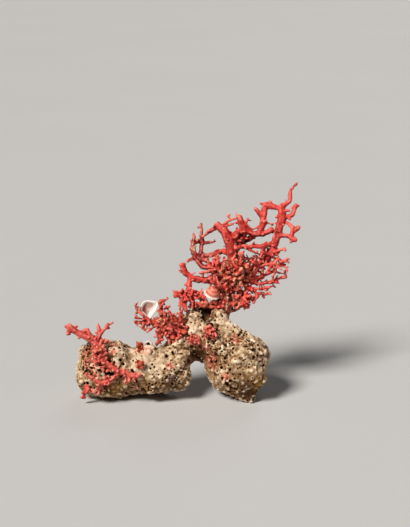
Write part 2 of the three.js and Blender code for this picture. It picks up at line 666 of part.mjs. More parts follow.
specimen.rotation.x = Math.PI / 2 - LEAN;
specimen.updateMatrixWorld(true);
const extent = new THREE.Box3().setFromObject(specimen, true);
const middle = extent.getCenter(new THREE.Vector3());
specimen.position.set(-middle.x, -middle.y, -extent.min.z);

export default specimen;
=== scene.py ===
"""Red coral colonies on the arched piece of sea rock that they grew on, standing on a pale table.

Each piece is grown from its own solid: the solid becomes a block of distances, which is rounded,
roughened, carved and given twigs, and the surface where the distance is nothing is its mesh.
Lengths are millimetres in the row frame until a mesh is made, in metres.
"""

import math
from collections import namedtuple

import bpy
import numpy as np
import openvdb as vdb
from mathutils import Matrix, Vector


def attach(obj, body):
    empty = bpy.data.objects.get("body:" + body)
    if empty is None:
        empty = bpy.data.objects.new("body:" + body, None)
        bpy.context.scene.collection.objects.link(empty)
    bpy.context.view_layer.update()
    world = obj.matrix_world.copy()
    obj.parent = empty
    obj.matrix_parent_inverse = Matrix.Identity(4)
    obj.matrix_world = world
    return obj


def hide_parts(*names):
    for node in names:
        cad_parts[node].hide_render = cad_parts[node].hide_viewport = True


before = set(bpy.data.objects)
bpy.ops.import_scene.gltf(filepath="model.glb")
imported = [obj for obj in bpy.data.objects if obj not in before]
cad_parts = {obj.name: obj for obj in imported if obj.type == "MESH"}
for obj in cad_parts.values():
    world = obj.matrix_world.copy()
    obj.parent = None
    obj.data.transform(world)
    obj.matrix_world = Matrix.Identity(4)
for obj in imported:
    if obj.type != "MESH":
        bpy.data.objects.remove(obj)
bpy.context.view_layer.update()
scene = bpy.context.scene

MM = 0.001

# Driving dimensions

LEAN = math.radians(16)  # how far the coral's plane leans back from upright
SHIFT_RIGHT = 0.44  # the footprint's middle, from the picture's middle
SHIFT_BACK = 14.47
UP = np.array([0.0, math.sin(LEAN), math.cos(LEAN)])  # up the leaning plane
NEAR = np.array([0.0, -math.cos(LEAN), math.sin(LEAN)])  # out of it, towards the viewer

ROCK_STEP = 0.42  # how finely the rock, the coral and the worm's tube are resolved
CORAL_STEP = 0.34
TUBE_STEP = 0.22
ROOM = 3.0  # space kept round a solid for what grows on it
BAND = 4.0  # how far from a surface distances are known
COARSE_STEP = 1.0  # step, room and band where only broad distances matter
COARSE_ROOM = 8.0
COARSE_BAND = 5.0
ROCK_FACES = 195000
ROCK_SEED = 100
TUBE_SEED = 200
VALVE_SEED = 7

# How coral is shaped
CORAL_ROUNDING = 0.45
CORAL_SWELL = 0.28  # puts back what rounding takes off, and closes the gaps at the forks
CORAL_CORE = 1.5  # limbs with an inside this deep are thick: they are rounder and knobblier
CORAL_CORE_SHARE = 0.2  # how much of such an inside there is round a point of a thick limb
CORAL_CORE_ROUNDING = 1.1
CORAL_CORE_LOSS = 0.2  # the most that the further rounding takes off
CORAL_CORE_KNOBS = 0.8  # how much higher the lumps of thick limbs are
CORAL_KNOBS = [(6.0, 0.24), (2.4, 0.3), (1.1, 0.14)]  # width and height of its lumps
TWIG_BLEND = 0.5
TWIG_OVERREACH = 0.6  # how far a twig may stand outside its solid's box
TWIG_GROWTH = 0.55  # how far twigs turn outwards from the specimen's middle
TWIG_BEND = 0.4
TWIG_CLEAR = 0.38  # share of its length that a twig's tip must stand clear of the rest
TWIG_CLEAR_MOST = 3.0
TWIG_SUNK = 0.4  # how deep a twig's root lies, as a share of its thickness
TWIG_FORK = 0.4  # length of a side branch, as a share of its twig
SPOT_TRIES = 4  # how many places are tried in a square of the spacing
SPOT_EDGE = 0.35  # how soft the edges of spots are, as a share of their size

# How the rock is shaped
ROCK_ROUNDING = 1.2
ROCK_WORN = 0.95  # taken off all round, to leave room for what stands out of it
ROCK_LUMPS = [(9.0, 0.8), (4.0, 0.6), (1.2, 0.3)]
ROCK_GRAINS = [(3.2, 0.55), (1.7, 0.75)]  # rounded grains with creases between them
CREASE_WIDTH = 0.3  # how much of each grain belongs to its creases
PALE_BREAKS = 3.5  # how far apart the breaks in the pale patches are
ROCK_SMOOTHED = 0.3  # share of small lumps and grains worn off the pale patch
ROCK_SMALL_LUMP = 5.0  # wider lumps aren't worn off
NODULE_SPACING = 3.4
NODULE_RADIUS = (0.8, 1.6)
NODULE_SUNK = 0.45  # how deep a nodule's middle lies, as a share of its radius
PIT_SPACING = 1.6
PIT_CLUSTER = 5.0  # how wide the places are where pits crowd
PIT_CLUSTER_RISE = (-0.3, 0.8)  # noise where pits begin to crowd, and crowd most
PIT_LONE_SHARE = 0.45  # share of the pits that are left between those places
PIT_CLUSTER_GROWTH = 0.45  # how much larger pits are where they crowd
PIT_RADIUS = (0.28, 0.62)
PIT_DEPTH = (0.4, 1.8)
PIT_LARGE_SHARE = 0.05
PIT_LARGE_RADIUS = (0.7, 1.15)
PIT_ROUGH = (1.4, 0.22)  # width and height of the unevenness of their walls
PIT_STRAY = 0.35
PIT_SPARED = 0.7  # share of the pits that the pale patch goes without
PIT_FOOT_ROOM = 1.5  # pits keep this far above the table
BORING_DEPTH = 3.0
RECESS_DEPTH = 2.0
KNOB_STANDING = 0.3  # how far a knob stands out, as a share of its radius


# Places

def row_point(right, up, near):
    """A point of the leaning plane, in the row frame."""
    return np.array([right - SHIFT_RIGHT, -SHIFT_BACK, 0.0]) + up * UP + near * NEAR


def picture_place(points):
    """How far right, up and near each point is, as the viewer sees the specimen."""
    moved = points + np.array([SHIFT_RIGHT, SHIFT_BACK, 0.0])
    return moved[..., 0], moved @ UP, moved @ NEAR


def smooth_step(low, high, value):
    """0 before low, 1 past high, and a smooth rise between them."""
    share = np.clip((value - low) / (high - low), 0, 1)
    return share * share * (3 - 2 * share)


def patch(right, up, spots):
    """1 inside any of the oval spots (right, up, half width, half height), falling to 0 outside them."""
    cover = np.zeros_like(right)
    for spot_right, spot_up, half_width, half_height in spots:
        away = np.hypot((right - spot_right) / half_width, (up - spot_up) / half_height)
        cover = np.maximum(cover, smooth_step(1 + SPOT_EDGE, 1 - SPOT_EDGE, away))
    return cover


# Blocks of distances

BELL_REACH = 2.5  # how many widths of a bell are summed
LATTICE_GAIN = 1.6  # brings smoothed noise back to about -1 to 1
BLEND_REACH = 2  # how many blends from a limb what is there may change
CARVE_REACH = 3  # how many cells past a hole's radius its uneven walls may be
TINY = 1e-9  # nothing is divided by less


def blur(values, width, step):
    """Values averaged over a bell of the given width."""
    reach = max(1, int(round(BELL_REACH * width / step)))
    offsets = np.arange(-reach, reach + 1)
    weights = np.exp(-0.5 * (offsets * step / width) ** 2)
    weights /= weights.sum()
    for axis in range(3):
        size = values.shape[axis]
        wide = np.pad(values, [(reach, reach) if a == axis else (0, 0) for a in range(3)], mode="edge")
        values = sum(w * np.take(wide, range(i, i + size), axis) for i, w in enumerate(weights))
    return values.astype(np.float32)


def spline_weights(count, spacing):
    """How much each lattice point counts at each of count places, the lattice being spacing places wide."""
    places = np.arange(count) / spacing
    cells = places.astype(int)
    part = places - cells
    rows = np.arange(count)
    weights = np.zeros((count, cells[-1] + 4), np.float32)
    weights[rows, cells] = (1 - part) ** 3 / 6
    weights[rows, cells + 1] = (3 * part**3 - 6 * part**2 + 4) / 6
    weights[rows, cells + 2] = (-3 * part**3 + 3 * part**2 + 3 * part + 1) / 6
    weights[rows, cells + 3] = part**3 / 6
    return weights


def vertex_points(mesh):
    """The points of a mesh, in mm."""
    places = np.zeros(3 * len(mesh.vertices), np.float32)
    mesh.vertices.foreach_get("co", places)
    return places.reshape(-1, 3) / MM


def node_triangles(nodes):
    """The corners of the triangles of some CAD nodes, in mm."""
    corners = []
    for node in nodes:
        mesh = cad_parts[node].data
        mesh.calc_loop_triangles()
        index = np.zeros(3 * len(mesh.loop_triangles), np.int32)
        mesh.loop_triangles.foreach_get("vertices", index)
        corners.append(vertex_points(mesh)[index].reshape(-1, 3, 3))
    return np.concatenate(corners)


class Block:
    """Space round some CAD nodes, cut into cells, with how far each cell is outside their surface."""

    def __init__(self, nodes, step, room=ROOM, band=BAND):
        self.step = step
        self.triangles = node_triangles(nodes)
        points = np.ascontiguousarray(self.triangles.reshape(-1, 3), np.float32)
        self.low = points.min(0)
        self.high = points.max(0)
        self.first = np.floor((self.low - room) / step).astype(int)
        shape = np.ceil((self.high + room) / step).astype(int) - self.first + 1
        grid = vdb.FloatGrid.createLevelSetFromPolygons(
            points,
            triangles=np.arange(len(points), dtype=np.uint32).reshape(-1, 3),
            transform=vdb.createLinearTransform(voxelSize=step),
            exBandWidth=band / step,
            inBandWidth=band / step,
        )
        self.distance = np.zeros(shape, np.float32)
        grid.copyToArray(self.distance, ijk=tuple(int(i) for i in self.first))

    def cell_points(self):
        axes = [(first + np.arange(size)) * self.step for first, size in zip(self.first, self.distance.shape)]
        return np.stack(np.meshgrid(*axes, indexing="ij"), axis=-1).astype(np.float32)

    def lumps(self, width, random):
        """Smooth noise, about -1 to 1, with lumps that wide."""
        weights = [spline_weights(count, width / self.step) for count in self.distance.shape]
        lattice = random.normal(size=[w.shape[1] for w in weights]).astype(np.float32)
        for w in weights:
            lattice = np.tensordot(lattice, w, axes=(0, 1))
        return LATTICE_GAIN * lattice

    def at(self, values, points):
        """Values of the cells, read between them at some points."""
        places = points / self.step - self.first
        cells = np.clip(np.floor(places).astype(int), 0, np.array(values.shape) - 2)
        part = np.clip(places - cells, 0, 1)
        total = np.zeros(len(points))
        for corner in np.ndindex(2, 2, 2):
            weight = np.prod(np.where(corner, part, 1 - part), axis=1)
            total += weight * values[tuple((cells + corner).T)]
        return total

    def slope(self, points):
        """Which way is straight out of the surface, at some points."""
        out = np.zeros_like(points)
        for axis in range(3):
            offset = np.zeros(3)
            offset[axis] = self.step
            out[:, axis] = self.at(self.distance, points + offset) - self.at(self.distance, points - offset)
        return out / np.maximum(np.linalg.norm(out, axis=1, keepdims=True), TINY)

    def beside_line(self, start, end, reach):
        """The cells within reach of a line: which they are, how far from it and how far along it."""
        low = np.minimum(start, end) - reach
        high = np.maximum(start, end) + reach
        lowest = np.clip(np.floor(low / self.step).astype(int) - self.first, 0, self.distance.shape)
        highest = np.clip(np.ceil(high / self.step).astype(int) - self.first + 1, 0, self.distance.shape)
        cells = tuple(slice(a, b) for a, b in zip(lowest, highest))
        axes = [(f + np.arange(a, b)) * self.step for f, a, b in zip(self.first, lowest, highest)]
        x, y, z = np.meshgrid(*axes, indexing="ij", sparse=True)
        line = end - start
        length = max(float(line @ line), TINY)
        along = ((x - start[0]) * line[0] + (y - start[1]) * line[1] + (z - start[2]) * line[2]) / length
        along = np.clip(along, 0, 1)
        off = [place - s - along * d for place, s, d in zip((x, y, z), start, line)]
        return cells, np.sqrt(off[0] ** 2 + off[1] ** 2 + off[2] ** 2), along

    def draw(self, points, radii, blend):
        """Adds a limb along some points, run into what is there."""
        for start, end, thick, thin in zip(points, points[1:], radii, radii[1:]):
            reach = max(thick, thin) + BLEND_REACH * blend + self.step
            cells, away, along = self.beside_line(start, end, reach)
            limb = away - (thick + (thin - thick) * along)
            there = self.distance[cells]
            share = np.clip(0.5 + 0.5 * (there - limb) / blend, 0, 1)
            self.distance[cells] = there + (limb - there) * share - blend * share * (1 - share)

    def carve(self, start, end, radius, rough):
        """Takes away a round-ended hole along a line, with uneven walls."""
        cells, away, _ = self.beside_line(start, end, radius + CARVE_REACH * self.step)
        self.distance[cells] = np.maximum(self.distance[cells], radius + rough[cells] - away)

    def polygons(self):
        """The surface as points in mm, triangles and quads."""
        grid = vdb.FloatGrid(BAND)
        grid.copyFromArray(np.ascontiguousarray(self.distance, np.float32))
        points, triangles, quads = grid.convertToPolygons(isovalue=0.0, adaptivity=0.0)
        return (points + self.first) * self.step, triangles.astype(int), quads.astype(int)

    def surface_triangles(self):
        """The corners of triangles that cover the surface."""
        points, triangles, quads = self.polygons()
        return points[np.concatenate([triangles, quads[:, [0, 1, 2]], quads[:, [0, 2, 3]]])]


def largest_shell(points, triangles, quads):
    """The largest connected part of a mesh, as points and arrays of faces."""
    starts = np.concatenate([group.ravel() for group in (triangles, quads)])
    ends = np.concatenate([np.roll(group, -1, axis=1).ravel() for group in (triangles, quads)])
    label = np.arange(len(points))
    while True:
        lowest = np.minimum(label[starts], label[ends])
        fresh = label.copy()
        np.minimum.at(fresh, label[starts], lowest)
        np.minimum.at(fresh, label[ends], lowest)
        fresh = fresh[fresh]
        if np.array_equal(fresh, label):
            break
        label = fresh
    kept = label == np.bincount(label).argmax()
    renumbered = np.cumsum(kept) - 1
    faces = [renumbered[group[kept[group[:, 0]]]] for group in (triangles, quads)]
    return points[kept], faces


def spaced_spots(triangles, spacing, random):
    """Points on some triangles, none closer than the spacing to another, and the way out at each."""
    across = np.cross(triangles[:, 1] - triangles[:, 0], triangles[:, 2] - triangles[:, 0])
    areas = 0.5 * np.linalg.norm(across, axis=1)
    count = int(SPOT_TRIES * areas.sum() / spacing**2)
    chosen = random.choice(len(triangles), count, p=areas / areas.sum())
    first, second = np.sqrt(random.random(count)), random.random(count)
    shares = np.stack([1 - first, first * (1 - second), first * second], axis=1)
    points = np.einsum("ij,ijk->ik", shares, triangles[chosen])
    outs = across[chosen] / (2 * areas[chosen, None])
    cells = np.floor(points / spacing).astype(int)
    taken = {}
    kept = []
    for i, (point, cell) in enumerate(zip(points, cells)):
        beside = [taken.get(tuple(cell - 1 + step), ()) for step in np.ndindex(3, 3, 3)]
        close = [j for group in beside for j in group]
        if close and np.min(np.sum((points[close] - point) ** 2, axis=1)) < spacing**2:
            continue
        taken.setdefault(tuple(cell), []).append(i)
        kept.append(i)
    return points[kept], outs[kept]


# Meshes

def make_piece(name, points, faces, node, material):
    """A mesh object that stands for a CAD node. Each array of faces has its own number of corners."""
    mesh = bpy.data.meshes.new(name)
    sizes = np.concatenate([np.full(len(group), group.shape[1]) for group in faces])
    corners = np.concatenate([group.ravel() for group in faces])
    mesh.vertices.add(len(points))
    mesh.vertices.foreach_set("co", (points * MM).astype(np.float32).ravel())
    mesh.loops.add(len(corners))
    mesh.loops.foreach_set("vertex_index", corners.astype(np.int32))
    mesh.polygons.add(len(sizes))
    mesh.polygons.foreach_set("loop_start", (np.cumsum(sizes) - sizes).astype(np.int32))
    mesh.update(calc_edges=True)
    mesh.materials.append(material)
    mesh.shade_smooth()
    piece = bpy.data.objects.new(name, mesh)
    scene.collection.objects.link(piece)
    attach(piece, "root")
    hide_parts(node)
    return piece


def thin_out(piece, faces):
    """Fewer faces, where the surface can spare them."""
    piece.data.calc_loop_triangles()
    thinning = piece.modifiers.new("thinning", "DECIMATE")
    thinning.ratio = min(1.0, faces / len(piece.data.loop_triangles))
    evaluated = piece.evaluated_get(bpy.context.evaluated_depsgraph_get())
    thinned = bpy.data.meshes.new_from_object(evaluated)
    piece.modifiers.clear()
    full, piece.data = piece.data, thinned
    bpy.data.meshes.remove(full)


def note(piece, **values):
    """Keeps values at each vertex, for its material to read."""
    for name, value in values.items():
        attribute = piece.data.attributes.new(name, "FLOAT", "POINT")
        attribute.data.foreach_set("value", np.asarray(value, np.float32))


# Materials

def srgb(red, green, blue):
    """A colour given by its screen values, as the light that it reflects."""
    shares = [c / 255 for c in (red, green, blue)]
    return [s / 12.92 if s <= 0.04045 else ((s + 0.055) / 1.055) ** 2.4 for s in shares] + [1.0]


class Surface:
    """A procedural material, put together step by step."""

    def __init__(self, name):
        self.material = bpy.data.materials.new(name)
        self.material.use_nodes = True
        self.tree = self.material.node_tree
        self.shader = self.tree.nodes["Principled BSDF"]
        self.place = self.add("TexCoord").outputs["Object"]

    def feed(self, socket, value):
        if isinstance(value, bpy.types.NodeSocket):
            self.tree.links.new(value, socket)
        else:
            socket.default_value = value

    def add(self, kind, **inputs):
        """A node of some kind, with its inputs set or linked."""
        node = self.tree.nodes.new("ShaderNode" + kind)
        for name, value in inputs.items():
            self.feed(node.inputs[name], value)
        return node

    def noise(self, width, detail=3.0, roughness=0.55):
        scale = 1 / (width * MM)
        node = self.add("TexNoise", Vector=self.place, Scale=scale, Detail=detail, Roughness=roughness)
        return node.outputs["Fac"]

    def cells(self, width):
        node = self.add("TexVoronoi", Vector=self.place, Scale=1 / (width * MM))
        return node.outputs["Distance"]

    def noted(self, name):
        node = self.add("Attribute")
        node.attribute_name = name
        return node.outputs["Fac"]

    def between(self, value, low, high):
        node = self.add("MapRange", **{"Value": value, "From Min": low, "From Max": high})
        node.interpolation_type = "SMOOTHSTEP"
        return node.outputs["Result"]

    def math(self, operation, first, second):
        node = self.add("Math")
        node.operation = operation
        self.feed(node.inputs[0], first)
        self.feed(node.inputs[1], second)
        return node.outputs[0]

    def times(self, first, second):
        return self.math("MULTIPLY", first, second)

    def plus(self, first, second):
        return self.math("ADD", first, second)

    def mix(self, share, first, second):
        node = self.add("Mix")
        node.data_type = "RGBA"
        self.feed(node.inputs["Factor"], share)
        self.feed(node.inputs["A"], first)
        self.feed(node.inputs["B"], second)
        return node.outputs["Result"]

    def layered(self, base, *layers):
        """Layers over a colour, the last on top. Each is a colour and shares to be multiplied."""
        for colour, share, *others in layers:
            for other in others:
                share = self.times(share, other)
            base = self.mix(share, base, colour)
        return base

    def uneven(self, value, least, spread):
        """A roughness that goes up with a value."""
        return self.plus(least, self.times(value, spread))

    def bump(self, height, depth):
        node = self.add("Bump", Height=height, Distance=depth * MM, Strength=1.0)
        self.feed(self.shader.inputs["Normal"], node.outputs["Normal"])

    def finish(self, colour, roughness, shine=0.5):
        self.shader.inputs["Specular IOR Level"].default_value = shine
        self.feed(self.shader.inputs["Base Color"], colour)
        self.feed(self.shader.inputs["Roughness"], roughness)
        return self.material


CORAL_RED = srgb(156, 12, 12)
CORAL_SALMON = srgb(206, 50, 42)
# pale salmon, for pale flecks and for the paler ridges, in part a painted highlight
CORAL_PALE = srgb(250, 140, 120)
# deep red for the painted shade in hollows, where coral crowds, underneath and away from the viewer
CORAL_PAINTED_SHADE = srgb(88, 4, 5)
CORAL_FADED = srgb(208, 114, 96)
# paler salmon for the painted light on coral near the viewer
CORAL_PAINTED_LIGHT = srgb(242, 92, 78)
CORAL_BROWN = srgb(176, 70, 32)
CRUST_CREAM = srgb(244, 214, 168)
CRUST_LIME = srgb(168, 128, 88)
CRUST_ORANGE = srgb(228, 138, 104)
CRUST_OLIVE = srgb(122, 78, 46)
CORAL_SHINE = 0.3


def coral_material():
    """Salmon red, with painted shade in the hollows, where it crowds, underneath and away from the viewer,
    painted light near the viewer, paler on the ridges partly as a painted highlight, crusted where the fan is
    densest.
    """
    s = Surface("red_coral")
    mottle = s.noise(width=3.2)
    grain = s.noise(width=0.9)
    ridge = s.noted("ridge")
    fronting = s.noted("fronting")
    limed = s.noted("limed")
    spread = s.plus(s.noise(width=2.6), s.times(limed, 0.07))
    crust = s.layered(
        s.mix(s.between(s.noise(width=4.0, detail=2.0), 0.4, 0.6), CRUST_CREAM, CRUST_ORANGE),
        (s.mix(s.between(grain, 0.3, 0.65), CRUST_LIME, CRUST_CREAM), limed, 0.8),
        (CRUST_OLIVE, s.between(ridge, 0.1, -0.15)),
    )
    body = s.layered(
        s.mix(s.between(mottle, 0.36, 0.62), CORAL_RED, CORAL_SALMON),
        # painted light: coral near the viewer and facing it is paler
        (CORAL_PAINTED_LIGHT, fronting, s.between(s.noise(width=6.0), 0.3, 0.6), 0.42),
        # painted shade: coral away from the viewer is deep red
        (CORAL_PAINTED_SHADE, s.between(fronting, 0.7, 0.0), 0.65),
        (CORAL_FADED, s.noted("faded"), s.between(grain, 0.2, 0.7)),
        # paler ridges and thin tips: partly pale tips, partly painted highlight
        (CORAL_PALE, s.between(ridge, 0.1, 0.42), s.between(s.noise(width=5.0, detail=2.0), 0.3, 0.6), 0.75),
        (CORAL_PALE, s.between(grain, 0.58, 0.74), 0.4),
        (CORAL_BROWN, s.noted("browned"), s.between(grain, 0.1, 0.6)),
        # painted shade where coral crowds, in its hollows and underneath
        (CORAL_PAINTED_SHADE, s.between(s.noted("crowding"), 0.14, 0.44), 0.55),
        (CORAL_PAINTED_SHADE, s.between(ridge, 0.0, -0.35), 0.85),
        (CORAL_PAINTED_SHADE, s.noted("under"), 0.75),
        (crust, s.noted("crust"), s.between(spread, 0.5, 0.6), 0.9),
    )
    s.bump(s.plus(s.times(grain, 0.6), s.times(s.cells(width=0.75), 0.5)), depth=0.22)
    return s.finish(body, s.uneven(mottle, 0.32, 0.25), CORAL_SHINE)


STONE = srgb(214, 180, 140)
STONE_DULL = srgb(182, 144, 102)
# light cream, also for the painted highlight on swells
STONE_LIGHT = srgb(248, 228, 198)
STONE_PALE = (srgb(192, 158, 126), srgb(238, 214, 186))
STONE_BROWN = (srgb(92, 56, 22), srgb(150, 106, 58))
# painted shade in the recesses and under the arch
STONE_PAINTED_SHADE = srgb(72, 46, 28)
STONE_OCHRE = srgb(172, 122, 40)
STONE_PURPLE = srgb(128, 100, 98)
STONE_CRUST = (srgb(178, 42, 36), srgb(240, 142, 122))
# browns of hollows, creases and pits, which also carry painted shade there
HOLLOW_BROWN = srgb(120, 78, 38)
CREASE_BROWN = srgb(96, 60, 26)
PIT_BROWN = srgb(96, 58, 26)
PIT_PAINTED_SHADE = srgb(48, 28, 14)
STONE_SHINE = 0.25


def rock_material():
    """Cream limestone, worm-eaten, browner low down and in its creases and holes, with thin crusts of colour;
    painted shade darkens its hollows, recesses, the underside of the arch and the depths of its holes, and a
    painted highlight lightens its swells.
    """
    s = Surface("sea_rock")
    mottle = s.noise(width=3.0, detail=4.0, roughness=0.65)
    grain = s.noise(width=0.8, roughness=0.7)
    pores = s.cells(width=0.9)
    pale = s.noted("pale")
    hollow = s.noted("hollow")
    pit = s.noted("pit")
    bare = s.math("SUBTRACT", 1.0, s.times(pale, 0.6))
    crust = s.mix(s.between(mottle, 0.36, 0.62), *STONE_CRUST)
    stone = s.layered(
        s.mix(s.between(s.noise(width=11.0), 0.35, 0.65), STONE, STONE_DULL),
        (STONE_LIGHT, s.between(mottle, 0.45, 0.72)),
        (HOLLOW_BROWN, s.between(mottle, 0.46, 0.28), 0.5),
        (s.mix(s.between(grain, 0.32, 0.62), *STONE_PALE), pale, 0.65),
        (HOLLOW_BROWN, s.noted("crowd"), s.between(mottle, 0.6, 0.4), 0.5),
        # brown stains, browner towards the foot, with painted shade under the arch and in recesses
        (s.mix(grain, *STONE_BROWN), s.noted("brown"), s.between(mottle, 0.22, 0.55), 0.85),
        # painted shade in the recesses and under the arch
        (STONE_PAINTED_SHADE, s.noted("dark"), s.between(grain, 0.2, 0.5)),
        (STONE_OCHRE, s.noted("ochre"), s.between(grain, 0.3, 0.6)),
        (STONE_PURPLE, s.noted("purple"), 0.6),
        (crust, s.noted("red"), s.between(s.noise(width=1.9), 0.34, 0.52), 0.92),
        (PIT_BROWN, s.between(pores, 0.3, 0.14), bare, 0.5),
        # painted shade in the hollows, painted highlight on the swells
        (HOLLOW_BROWN, s.between(hollow, 0.0, 0.5), 0.75),
        (STONE_LIGHT, s.between(hollow, -0.1, -0.6), 0.6),
        # darker brown in the creases: partly the rock's own brown, partly painted shade
        (CREASE_BROWN, s.between(s.noted("crease"), 0.3, 0.9), s.between(grain, 0.3, 0.6), bare, 0.8),
        # brown in the pits, deepening with depth into painted shade
        (PIT_BROWN, s.between(pit, 0.1, 0.7)),
        (PIT_PAINTED_SHADE, s.between(pit, 0.7, 1.8)),
    )
    s.bump(s.plus(s.times(grain, 0.5), s.times(s.between(pores, 0.1, 0.5), 0.5)), depth=0.3)
    return s.finish(stone, s.uneven(grain, 0.78, 0.2), STONE_SHINE)


# Coral

# How twigs grow: how far apart, how long, how thick at the foot, what share of that at the tip,
# what share of them fork, how far they stray from straight out, and how many crops there are
Habit = namedtuple("Habit", "spacing length foot tip forked stray crops")
CORAL_HABITS = {
    "bough": Habit(5.2, (0.9, 3.0), (0.7, 1.1), 0.65, 0.25, 0.4, 1),
    "spray": Habit(3.0, (3.0, 7.5), (0.85, 1.2), 0.7, 0.4, 0.3, 2),
    "fill": Habit(2.3, (2.5, 6.0), (0.9, 1.4), 0.75, 0.5, 0.7, 3),
    "spire": Habit(3.4, (1.0, 2.8), (0.5, 0.8), 0.6, 0.2, 0.4, 1),
    "colony": Habit(2.4, (1.2, 4.8), (0.7, 1.4), 0.75, 0.5, 0.8, 3),
    "vein": Habit(2.6, (0.8, 2.8), (0.6, 1.1), 0.7, 0.5, 0.6, 2),
    "crust": Habit(2.1, (0.8, 2.4), (0.6, 1.2), 0.75, 0.4, 0.6, 2),
}
CROP_SHRINK = 0.75  # size of the twigs on twigs, as a share of theirs
FADED = {  # how faded a piece's red is, and how brown
    "end_colony": 0.5,
    "shoulder_colony": 0.3,
    "front_creeper": 0.6,
    "neck_tuft_upper": 0.75,
    "neck_tuft_lower": 0.8,
}
BROWNED = {"front_sprig": 0.85, "top_knob": 0.85, "shoulder_colony": 0.25}
CORAL_NODES = {  # the pieces of coral and the habit of each
    "fan_stem": "spray",
    "fan_left_bough": "bough",
    "fan_right_bough": "bough",
    "fan_middle_bough": "bough",
    "fan_low_left_bough": "bough",
    "fan_left_spires": "spire",
    "fan_right_spray": "spray",
    "fan_front_spray": "spray",
    "fan_back_spray": "spray",
    "shoulder_colony": "colony",
    "end_colony": "bough",
    "front_creeper": "vein",
    "hanging_twig": "vein",
    "neck_tuft_upper": "crust",
    "neck_tuft_lower": "crust",
    "front_sprig": "crust",
    "top_knob": "crust",
}
THICKET_SPOTS = [  # where the boughs are set with twigs too
    (40, 84, 26, 14), (52, 97, 12, 6), (39.5, 111, 6, 4.5), (8, 68, 7, 5), (40, 70, 9, 8),
]
DENSER = {  # what else grows on a piece: habit and spots
    "fan_stem": [("fill", [(38, 70, 9, 9)]), ("crust", [(25.5, 66, 4, 6), (18, 68, 5, 3)])],
    "fan_right_spray": [("fill", [(40, 71, 8, 9)])],
    "fan_low_left_bough": [("colony", [(6, 69, 8, 6)])],
    "end_colony": [("crust", [(-57, 33, 7, 9)])],
}
BRIDGE_NODE = "fan_middle_bough"  # one limb of it runs on into the right bough
BRIDGE = [(57.4, 135.2, -1), (61.5, 134.8, 0), (67.8, 132.4, 1.6)]
BRIDGE_RADIUS = 1.9
BARE_SPOTS = [  # where twigs would hide a shell or spoil a slim tip
    (-23.8, 62.5, 6, 6.6), (20.4, 74.4, 4.6, 4.8), (77, 146, 6, 8),
]
CRUST_SPOTS = [  # where the coral is crusted
    (35, 87, 12, 10), (33, 68, 6, 11), (16, 65.5, 6, 4), (7.3, 107, 2.5, 4), (11.8, 114, 2.5, 6),
    (-55, 37.5, 4, 3), (-15, 55, 5, 4),
]
LIME_SPOTS = [  # where the crust is thick
    (27.2, 73.5, 3, 3), (18.6, 68.8, 4.5, 2), (7.3, 107, 1.8, 2.5),
]
FRONT_REACH = (-6.0, 3.0)  # how near the viewer coral gets painted light, from none to most; coral further back gets painted shade
FRONT_FACING = (-0.3, 0.5)  # the same for how squarely it faces the viewer
UNDER_FACING = (0.1, -0.8)  # how far it faces upwards where the painted shade underneath begins, and is full
RIDGE_WIDTH = 0.9  # ridges and hollows stand out from coral smoothed this wide
CROWDING_WIDTH = 3.2  # how far round a place coral is counted
BARE_COVER = 0.5  # twigs that a bare spot covers this much don't grow
GROWTH_MIDDLE = row_point(15, 45, 0)  # twigs grow away from here


def unit(way):
    return way / np.linalg.norm(way)


def grow_twigs(block, habit, random, spots=None):
    """Crops of small twigs all over a piece, or only at some spots, each on what grew before."""
    for crop in range(habit.crops):
        grow_crop(block, habit, CROP_SHRINK**crop, random, spots)


def grow_crop(block, habit, scale, random, spots):
    """Small twigs and nubs on a piece as it is, kept within its solid's reach."""
    roots, outs = spaced_spots(block.surface_triangles(), habit.spacing, random)
    if spots:
        right, up, _ = picture_place(roots)
        chosen = patch(right, up, spots) > random.random(len(roots))
        roots, outs = roots[chosen], outs[chosen]
    for root, out in zip(roots, outs):
        length = scale * random.uniform(*habit.length)
        foot = scale * random.uniform(*habit.foot)
        growth = TWIG_GROWTH * unit(root - GROWTH_MIDDLE)
        heading = unit(out + growth + habit.stray * random.normal(size=3))
        turned = unit(heading + TWIG_BEND * random.normal(size=3))
        forks = random.random() < habit.forked
        knee = root + 0.5 * length * heading
        tip = knee + 0.5 * length * turned
        inside = np.all(tip > block.low - TWIG_OVERREACH) and np.all(tip < block.high + TWIG_OVERREACH)
        right, up, _ = picture_place(np.array([knee, tip]))
        open_view = patch(right, up, BARE_SPOTS).max() < BARE_COVER
        clear = block.at(block.distance, tip[None])[0] > min(TWIG_CLEAR * length, TWIG_CLEAR_MOST)
        if not (inside and clear and open_view):
            continue
        thin = habit.tip * foot
        middling = 0.5 * (foot + thin)
        block.draw([root - TWIG_SUNK * foot * out, knee, tip], [foot, middling, thin], TWIG_BLEND)
        if forks:
            fork = knee + TWIG_FORK * length * unit(2 * heading - turned)
            block.draw([knee, fork], [middling, thin], TWIG_BLEND)


def crowding_block():
    """How much coral there is round each place."""
    block = Block(CORAL_NODES, COARSE_STEP, COARSE_ROOM)
    block.distance = blur((block.distance < 0).astype(np.float32), CROWDING_WIDTH, block.step)
    return block


